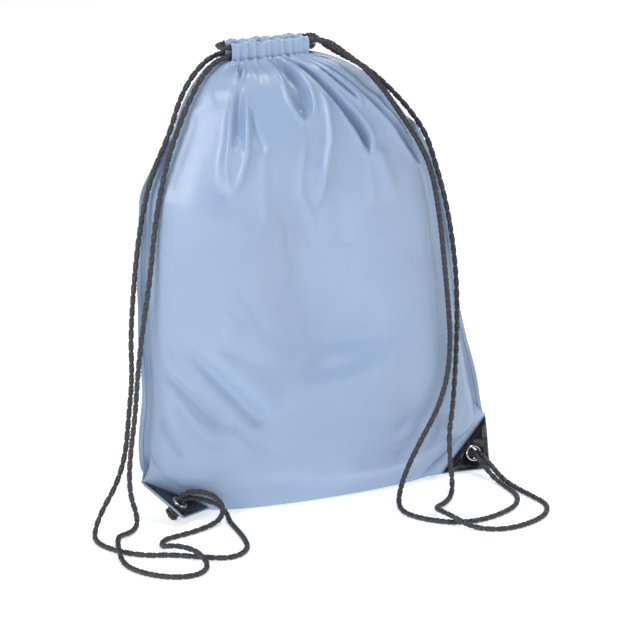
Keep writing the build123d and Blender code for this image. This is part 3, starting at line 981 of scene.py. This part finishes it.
def finishCloth(piece, node, thickness=None):
    mesh = piece.data
    mesh.shade_smooth()
    wall = piece.modifiers.new("wall", "SOLIDIFY")
    wall.thickness = thickness or bag["cloth"]
    wall.offset = -1
    applyModifiers(piece)
    paint(piece, clothMaterial)
    handOver(piece, "bag", node)


def sharpenFolds(piece, side):
    gathers, folds = (frontGathers, frontFolds) if side < 0 else (backGathers, backFolds)
    mesh = piece.data
    drawn = np.zeros((len(mesh.vertices), 2))
    for loop, place in zip(mesh.loops, mesh.uv_layers["drawn"].data):
        drawn[loop.vertex_index] = place.uv
    share, height = drawn[:, 0], drawn[:, 1]
    rise = crispHeights(share, height, gathers, folds)
    rise *= smoothStep(1 - np.abs(share), 0.02, 0.10) * smoothStep(height, 0.004, 0.03)
    for vert, reach in zip(mesh.vertices, rise):
        if abs(reach) > 0.00001:
            vert.co += vert.normal * float(reach)
    mesh.uv_layers.remove(mesh.uv_layers["drawn"])
    mesh.uv_layers["flat"].active = True


def makePanels():
    for side, name, node in ((-1, "frontPanelCloth", "front_panel"), (1, "backPanelCloth", "back_panel")):
        piece = makePanel(side, name)
        settleCloth(piece)
        soft = piece.modifiers.new("soft", "SUBSURF")
        soft.levels = soft.render_levels = 1
        applyModifiers(piece)
        sharpenFolds(piece, side)
        finishCloth(piece, node)
        print("panel", name, len(piece.data.polygons), "faces")


makePanels()
print("stage: panels")


# the panel runs out into each ear: a small web of cloth from the patch's long edge to the bag's wall
web = {
    "left": {"foot": 0.004, "head": 0.062, "shareFoot": -0.80, "shareHead": -0.97},
    "right": {"foot": 0.004, "head": 0.066, "shareFoot": 0.80, "shareHead": 0.97},
    "across": 26,
    "down": 14,
}


def onPanel(share, z, side):
    x, y = bagOutline(z, side)
    place = (share + 1) / 2 * bag["columns"]
    index = np.arange(bag["columns"] + 1)
    return np.array((np.interp(place, index, x), np.interp(place, index, y), z))


def makeWeb(ear, side):
    facts = web[ear]
    reach = patch["leg"] + 0.002
    points = []
    for row in range(web["down"] + 1):
        down = row / web["down"]
        for k in range(web["across"] + 1):
            along = k / web["across"]
            edge = np.array(onEar(ear, reach * (1 - along), reach * along, -side * earSizes["cloth"] * 0.9))
            edge[2] = max(edge[2], bag["seat"] + 0.0003)
            z = facts["foot"] + (facts["head"] - facts["foot"]) * along
            share = facts["shareFoot"] + (facts["shareHead"] - facts["shareFoot"]) * along
            wall = onPanel(share, z, side) + np.array((0, -side * 0.0012, 0))
            bulge = math.sin(math.pi * down) * (0.0024 + 0.0012 * math.sin(along * 9 + side))
            spot = wall + (edge - wall) * (down * down * (3 - 2 * down) * 0.6 + down * 0.4)
            spot[1] += side * bulge
            points.append(tuple(spot))
    name = f"{ear}{'Front' if side < 0 else 'Back'}Web"
    piece = newPiece(name, points, gridFaces(web["down"] + 1, web["across"] + 1, False))
    mesh = piece.data
    flat = mesh.uv_layers.new(name="flat")
    for loop in mesh.loops:
        r, c = divmod(loop.vertex_index, web["across"] + 1)
        flat.data[loop.index].uv = (c * 0.0026, r * 0.0014)
    if mesh.polygons[len(mesh.polygons) // 2].normal.y * side < 0:
        mesh.flip_normals()
    finishCloth(piece, "front_panel" if side < 0 else "back_panel")


def hemPoint(x, turn, side):
    # turn runs from the hem's foot outside, over the top, to its foot inside, from 0 to 1
    halfDepth = bag["hemDepth"] / 2
    foot, top = bag["hemFoot"] - hem["foot"], bag["hemTop"]
    riseEnd = hem["riseEnd"]
    wave = float(gatherWave(np.array(x), hem["seeds"][side]))
    crest = 0.5 + 0.5 * math.sin(x * 410 + side) * math.sin(x * 173 + 1.7)
    top = top - hem["topWave"] * 1.3 * (1 - crest) - 0.0005 * (1 - wave)
    if turn < riseEnd:
        share = turn / riseEnd
        out = halfDepth + 0.0004 + hem["pleat"] * wave * (1 - 0.45 * share)
        out -= 0.0009 * math.exp(-((share - hem["threadAt"]) / 0.10) ** 2)      # the stitched line draws in
        z = foot + (top - halfDepth * 0.8 - foot) * share
    elif turn < 1 - riseEnd:
        angle = math.pi * (turn - riseEnd) / (1 - 2 * riseEnd)
        swell = hem["pleat"] * 0.6 * wave
        out = (halfDepth + swell) * math.cos(angle)
        z = top - halfDepth * 0.8 + halfDepth * 0.8 * math.sin(angle)
    else:
        share = (1 - turn) / riseEnd
        out = -halfDepth + 0.0006 * wave * (1 - share)
        z = foot + 0.0010 + (top - halfDepth * 0.8 - foot - 0.0010) * share
    return np.array((x, side * (bag["hemMiddle"] + out), z))


def makeHem(side, name, node):
    xs = np.linspace(bag["hemLeft"], bag["hemRight"], hem["across"] + 1)
    turns = np.linspace(0, 1, hem["round"] + 1)
    points = [tuple(hemPoint(x, t, side)) for t in turns for x in xs]
    piece = newPiece(name, points, gridFaces(len(turns), len(xs), side > 0))
    mesh = piece.data
    flat = mesh.uv_layers.new(name="flat")
    for loop in mesh.loops:
        r, c = divmod(loop.vertex_index, len(xs))
        flat.data[loop.index].uv = (c / len(xs) * bag["flat"][0], 0.40 + r * 0.0013)
    finishCloth(piece, node, hem["wall"])


for side, name, node in ((-1, "frontHem", "front_channel"), (1, "backHem", "back_channel")):
    makeHem(side, name, node)
print("stage: hems")


# corner ears: sewn cloth between two coated patches, cut with a rounded tip
patch = {
    "leg": 0.0485,
    "step": 0.0011,
    "tipRound": 0.0042,
    "wall": 0.0010,
    "crown": 0.0014,
    "edge": 0.0008,      # cloth that shows past the patch
    "hole": 0.0062,
    "bevel": 0.00022,
    "sunk": 0.0030,      # ear cloth that runs on under the web
}


def earMatrix(side):
    ear = ears[side]
    first, second = (ear["rise"], ear["bottom"]) if ear["turned"] else (ear["bottom"], ear["rise"])
    spin = Matrix((first, second, ear["normal"])).transposed().to_4x4()
    return Matrix.Translation(ear["tip"]) @ spin


def triangleSheet(name, near, leg):
    # a right triangle with its square corner at the tip, in its own flat plane, with the eyelet's hole
    size = leg - near
    cuts = int(size / patch["step"])
    deselectAll()
    bpy.ops.mesh.primitive_grid_add(x_subdivisions=cuts, y_subdivisions=cuts, size=size,
                                    location=(near + size / 2, near + size / 2, 0))
    piece = bpy.context.object
    piece.name = name
    makeActive(piece)
    bpy.ops.object.transform_apply(location=True, rotation=True, scale=True)
    bpy.ops.object.mode_set(mode="EDIT")
    bpy.ops.mesh.select_all(action="SELECT")
    bpy.ops.mesh.bisect(plane_co=(near + size / 2, near + size / 2, 0), plane_no=(1, 1, 0), clear_outer=True)
    bpy.ops.object.mode_set(mode="OBJECT")
    spot = Vector((earSizes["inset"], earSizes["inset"], 0))
    work = bmesh.new()
    work.from_mesh(piece.data)
    gone = [f for f in work.faces if (f.calc_center_median() - spot).length < patch["hole"]]
    bmesh.ops.delete(work, geom=gone, context="FACES")
    for vert in work.verts:
        away = vert.co - spot
        if vert.is_boundary and away.length < patch["hole"] + 0.0015:
            vert.co = spot + away.normalized() * patch["hole"]
    work.to_mesh(piece.data)
    work.free()
    radius = patch["tipRound"]
    for vert in piece.data.vertices:
        inX, inY = radius - (vert.co.x - near), radius - (vert.co.y - near)
        if inX > 0 and inY > 0:                  # square corner drawn in to a quarter circle
            shrink = max(inX, inY) / math.hypot(inX, inY)
            vert.co.x = near + radius - inX * shrink
            vert.co.y = near + radius - inY * shrink
    return piece


def earWave(x, y, seed):
    where = Vector((x * 55 + seed, y * 55 - seed, seed * 0.7))
    return noise.noise(where)


def earBend(x, y, side):
    # gentle warp of the whole ear, the same for the cloth and both patches
    seed = 3.1 if side == "left" else 8.4
    away = min(1, math.hypot(x - earSizes["inset"], y - earSizes["inset"]) / 0.014)
    return 0.0011 * earWave(x * 0.6, y * 0.6, seed) * away


def makePatch(side, face):
    name = side + ("Front" if face > 0 else "Back") + "Patch"
    piece = triangleSheet(name, patch["edge"], patch["leg"])
    leg = patch["leg"]
    seed = 1.7 if side == "left" else 5.2
    for vert in piece.data.vertices:
        x, y = vert.co.x, vert.co.y
        inset = min(x - patch["edge"], y - patch["edge"], (leg + patch["edge"] - x - y) / 1.414)
        seam = 1 - math.exp(-(inset / 0.0030) ** 2)                    # thin at its sewn edges
        dip = math.exp(-((inset - 0.003) / 0.0007) ** 2)
        ring = math.hypot(x - earSizes["inset"], y - earSizes["inset"])
        press = 1 - math.exp(-(max(0, ring - 0.007) / 0.006) ** 2)     # the eyelet holds it flat
        rise = patch["crown"] * seam * press * (0.75 + 0.5 * earWave(x, y, seed)) - 0.0003 * dip
        rise += 0.0007 * earWave(x * 2.0, y * 2.0, seed + face) * press * seam
        vert.co.z = face * (earSizes["cloth"] + patch["wall"] * 0.92 + rise) + earBend(x, y, side)
    piece.data.transform(earMatrix(side))
    piece.data.update()
    if face < 0:
        piece.data.flip_normals()
    if Vector(ears[side]["normal"]).dot(piece.data.polygons[0].normal) * face < 0:
        piece.data.flip_normals()
    piece.data.shade_smooth()
    wall = piece.modifiers.new("wall", "SOLIDIFY")
    wall.thickness = patch["wall"]
    wall.offset = -1
    bevel = piece.modifiers.new("round", "BEVEL")
    bevel.width = patch["bevel"]
    bevel.segments = 2
    bevel.limit_method = "ANGLE"
    bevel.angle_limit = math.radians(55)
    applyModifiers(piece)
    paint(piece, leatherMaterial)
    handOver(piece, "bag", f"{side}_{'front' if face > 0 else 'back'}_patch")


def makeEarCloth(side):
    for face, node in ((1, "front_panel"), (-1, "back_panel")):
        name = f"{side}Ear{'Front' if face > 0 else 'Back'}Cloth"
        piece = triangleSheet(name, 0, patch["leg"] + patch["sunk"])
        for vert in piece.data.vertices:
            vert.co.z = face * earSizes["cloth"] * 0.95 + earBend(vert.co.x, vert.co.y, side)
        flat = piece.data.uv_layers.active
        flat.name = "flat"
        for loop in piece.data.loops:
            spot = piece.data.vertices[loop.vertex_index].co
            flat.data[loop.index].uv = (spot.x, spot.y)
        piece.data.transform(earMatrix(side))
        piece.data.update()
        if Vector(ears[side]["normal"]).dot(piece.data.polygons[0].normal) * face < 0:
            piece.data.flip_normals()
        finishCloth(piece, node)


eyelet = {
    "steps": 72,
    "wall": 0.00028,
    # radius and height above the patch of the turned ring, from the bore out to the rim
    "front": [(0.0053, -0.0016), (0.0053, 0.0002), (0.0055, 0.0008), (0.0060, 0.0012), (0.0066, 0.00125),
              (0.0071, 0.0010), (0.00745, 0.00055), (0.0075, 0.0001), (0.0073, 0.0)],
    "back": [(0.0057, -0.0003), (0.00555, 0.0003), (0.0058, 0.0008), (0.0062, 0.0009), (0.0066, 0.0006),
             (0.0071, 0.0004), (0.0075, 0.00035), (0.0075, 0.0)],
}


def makeEyelet(side, face):
    node = f"{side}_eyelet" if face > 0 else f"{side}_eyelet_washer"
    profile = eyelet["front"] if face > 0 else eyelet["back"]
    foot = earSizes["cloth"] + patch["wall"]
    points = [(r, 0, foot + h) for r, h in profile]
    edges = [(k, k + 1) for k in range(len(points) - 1)]
    piece = newPiece(side + ("Eyelet" if face > 0 else "Washer"), points, [], edges)
    mesh = piece.data
    makeActive(piece)
    bpy.ops.object.mode_set(mode="EDIT")
    bpy.ops.mesh.select_all(action="SELECT")
    bpy.ops.mesh.spin(steps=eyelet["steps"], angle=2 * math.pi, center=(0, 0, 0), axis=(0, 0, 1))
    bpy.ops.mesh.select_all(action="SELECT")
    bpy.ops.mesh.remove_doubles(threshold=0.00002)
    bpy.ops.mesh.normals_make_consistent(inside=False)
    bpy.ops.object.mode_set(mode="OBJECT")
    # outward is away from the patch on the crown of the ring
    crown = max(mesh.polygons, key=lambda p: p.center.z)
    if crown.normal.z < 0:
        mesh.flip_normals()
    wall = piece.modifiers.new("wall", "SOLIDIFY")
    wall.thickness = eyelet["wall"]
    wall.offset = -1
    soft = piece.modifiers.new("soft", "SUBSURF")
    soft.levels = soft.render_levels = 1
    applyModifiers(piece)
    spot = Matrix.Translation((earSizes["inset"], earSizes["inset"], 0))
    turnOver = Matrix.Identity(4) if face > 0 else Matrix.Rotation(math.pi, 4, "X")
    piece.data.transform(earMatrix(side) @ spot @ turnOver)
    piece.data.shade_smooth()
    paint(piece, nickelMaterial)
    handOver(piece, "bag", node)


for side in ears:
    makeEarCloth(side)
    for face in (1, -1):
        makePatch(side, face)
        makeEyelet(side, face)
        makeWeb(side, -face)
print("stage: ears, patches and eyelets")


# sewing: one stitch is a small bowed sausage, laid end to end along each row
stitch = {
    "length": 0.0026,
    "gap": 0.0007,
    "radius": 0.00026,
    "patchInset": 0.003,
    "seamInset": 0.005,
    "seamFoot": 0.050,
    "seamHead": 0.340,
    # along the stitch, thickness as a share of the radius, lift as a share of the radius
    "bow": [(0.0, 0.25, -0.3), (0.10, 0.85, 0.1), (0.5, 1.0, 0.45), (0.90, 0.85, 0.1), (1.0, 0.25, -0.3)],
    "sides": 6,
}


def oneStitch(start, end, normal, points, faces):
    start, end, normal = Vector(start), Vector(end), Vector(normal).normalized()
    along = end - start
    across = along.cross(normal).normalized()
    offset = len(points)
    for at, swell, lift in stitch["bow"]:
        for k in range(stitch["sides"]):
            angle = 2 * math.pi * k / stitch["sides"]
            reach = stitch["radius"] * swell
            points.append(start + along * at + normal * (stitch["radius"] * lift + math.sin(angle) * reach)
                          + across * math.cos(angle) * reach)
    faces.extend(tubeFaces(len(stitch["bow"]), stitch["sides"], offset))


def stitchRow(line, normals, points, faces):
    line = np.array(line)
    run = np.concatenate([[0], np.cumsum(np.linalg.norm(np.diff(line, axis=0), axis=1))])
    at = 0.0
    pitch = stitch["length"] + stitch["gap"]
    while at + stitch["length"] < run[-1]:
        ends = [[np.interp(d, run, line[:, k]) for k in range(3)] for d in (at, at + stitch["length"])]
        middle = [np.interp(at + stitch["length"] / 2, run, np.array(normals)[:, k]) for k in range(3)]
        oneStitch(ends[0], ends[1], middle, points, faces)
        at += pitch


def sewn(name, rows, node, made):
    points, faces = [], []
    for line, normals in rows:
        stitchRow(line, normals, points, faces)
    piece = newPiece(name, points, faces)
    piece.data.shade_smooth()
    makeActive(piece)
    bpy.ops.object.mode_set(mode="EDIT")
    bpy.ops.mesh.select_all(action="SELECT")
    bpy.ops.mesh.normals_make_consistent(inside=False)
    bpy.ops.object.mode_set(mode="OBJECT")
    paint(piece, made)
    handOver(piece, "bag", node)


def patchRows(side, face):
    inset, leg = stitch["patchInset"], patch["leg"]
    near = patch["edge"] + inset
    far = leg - patch["edge"] - inset * 1.414
    corners = [(near + 0.002, near), (far - inset, near), (near, far - inset), (near, near + 0.002)]
    flatLine = []
    for a, b in zip(corners, corners[1:] + corners[:1]):
        for k in range(24):
            share = k / 24
            flatLine.append((a[0] + (b[0] - a[0]) * share, a[1] + (b[1] - a[1]) * share))
    flatLine.append(corners[0])
    place = earMatrix(side)
    height = earSizes["cloth"] + patch["wall"] * 0.92 + patch["crown"] * 0.45 + stitch["radius"] * 0.5
    line = [place @ Vector((x, y, face * height + earBend(x, y, side))) for x, y in flatLine]
    return [tuple(p) for p in line], [tuple(ears[side]["normal"] * face)] * len(line)


def seamRows(side):
    rows = []
    heights = np.linspace(stitch["seamFoot"], stitch["seamHead"], 120)
    for face in (-1, 1):
        line = []
        for z in heights:
            out = min(stitch["seamInset"], float(flangeReach(np.array(z))) * 0.55)
            spot = flangePoint(z, side, out)
            line.append((spot[0], spot[1] + face * (bag["cloth"] + 0.0004), z))
        rows.append((line, [(0, face, 0)] * len(line)))
    return rows


def hemRows(side):
    xs = np.linspace(bag["hemLeft"] + 0.001, bag["hemRight"] - 0.001, 140)
    turn = hem["riseEnd"] * hem["threadAt"]
    line = [hemPoint(x, turn, side) + np.array((0, side * 0.0001, 0)) for x in xs]
    return [(line, [(0, side, 0)] * len(line))]


for side in ears:
    sewn(side + "PatchThread", [patchRows(side, 1), patchRows(side, -1)], side + "_patch_thread",
         blackThread)
for side, name in ((-1, "left"), (1, "right")):
    sewn(name + "SeamThread", seamRows(side), name + "_seam_thread", threadMaterial)
for side, name in ((-1, "front"), (1, "back")):
    sewn(name + "HemThread", hemRows(side), name + "_channel_thread", threadMaterial)
print("stage: sewing")


# the held part of each cord: two legs in the hems and the turn between them
loops = {
    "left": {"legEnd": -0.066, "turnStart": -0.009, "lane": 0.415, "way": 1},
    "right": {"legEnd": -0.027, "turnStart": -0.084, "lane": 0.421, "way": -1},
}


def makeLoop(side):
    lane, way = loops[side]["lane"], loops[side]["way"]
    legEnd, turnStart = loops[side]["legEnd"], loops[side]["turnStart"]
    radius = bag["hemMiddle"]
    route = [(legEnd, -radius, lane), (turnStart, -radius, lane)]
    for k in range(1, 24):
        angle = math.pi * k / 24
        route.append((turnStart + way * radius * math.sin(angle), -radius * math.cos(angle), lane))
    route += [(turnStart, radius, lane), (legEnd, radius, lane)]
    piece = braidAlong(side + "LoopBraid", smoothLine(side + "Loop", route))[0]
    handOver(piece, side + "_drawcord", side + "_drawcord_loop")


# each knot: the two ends come down through the bore and are tied together behind it
knot = {
    "radius": 0.0042,
    "pitch": 0.0042,
    "turns": 2.0,
    "perTurn": 26,       # points of one turn
    "top": -0.0062,
    # each stub on its way down through the bore: share of its distance from the middle, and height
    "stub": [(1, 0.0034), (1, 0.0005), (0.9, -0.0030), (0.8, -0.0070), (0.6, -0.0115)],
}


def makeKnot(side, asides):
    place = earMatrix(side)
    inset = earSizes["inset"]
    parts = []
    turned = ears[side]["turned"]
    for number, aside in enumerate(asides):
        a, b = (aside[1], aside[0]) if turned else aside
        stub = [(inset + a * share, inset + b * share, height) for share, height in knot["stub"]]
        line = smoothLine("stub", [tuple(place @ Vector(p)) for p in stub])
        parts.append(braidAlong(f"{side}Stub{number}", line)[0])
    wrap = []
    for k in range(int(knot["perTurn"] * knot["turns"]) + 1):
        angle = 2 * math.pi * k / knot["perTurn"]
        down = knot["top"] + 0.0008 - knot["pitch"] * k / knot["perTurn"]
        reach = knot["radius"] * (1 + 0.06 * math.sin(2.6 * angle))
        wrap.append((inset + reach * math.cos(angle), inset + reach * math.sin(angle), down))
    x, y, z = wrap[-1]
    wrap += [(x - 0.003, y + 0.001, z + 0.0015), (inset - 0.001, inset + 0.0005, z + 0.004)]   # tucked end
    line = smoothLine("wrap", [tuple(place @ Vector(p)) for p in wrap])
    parts.append(braidAlong(side + "Wrap", line)[0])
    deselectAll()
    for part in parts:
        part.select_set(True)
    bpy.context.view_layer.objects.active = parts[0]
    bpy.ops.object.join()
    piece = bpy.context.object
    piece.name = side + "Knot"
    handOver(piece, "bag", side + "_knot")
    return piece


for side in loops:
    makeLoop(side)
print("stage: loops")


knots = {
    "left": [makeKnot("left", [(-half, half), (half, -half)])],
    "right": [makeKnot("right", [(aside, 0), (-aside, 0)])],
}
print("stage: knots")


def makeStrands():
    for name, route in strandRoutes.items():
        line = smoothLine(name, route)
        piece, path = braidAlong(name + "Braid", line)
        handOver(piece, "bag", name)


makeStrands()
print("stage: cords")
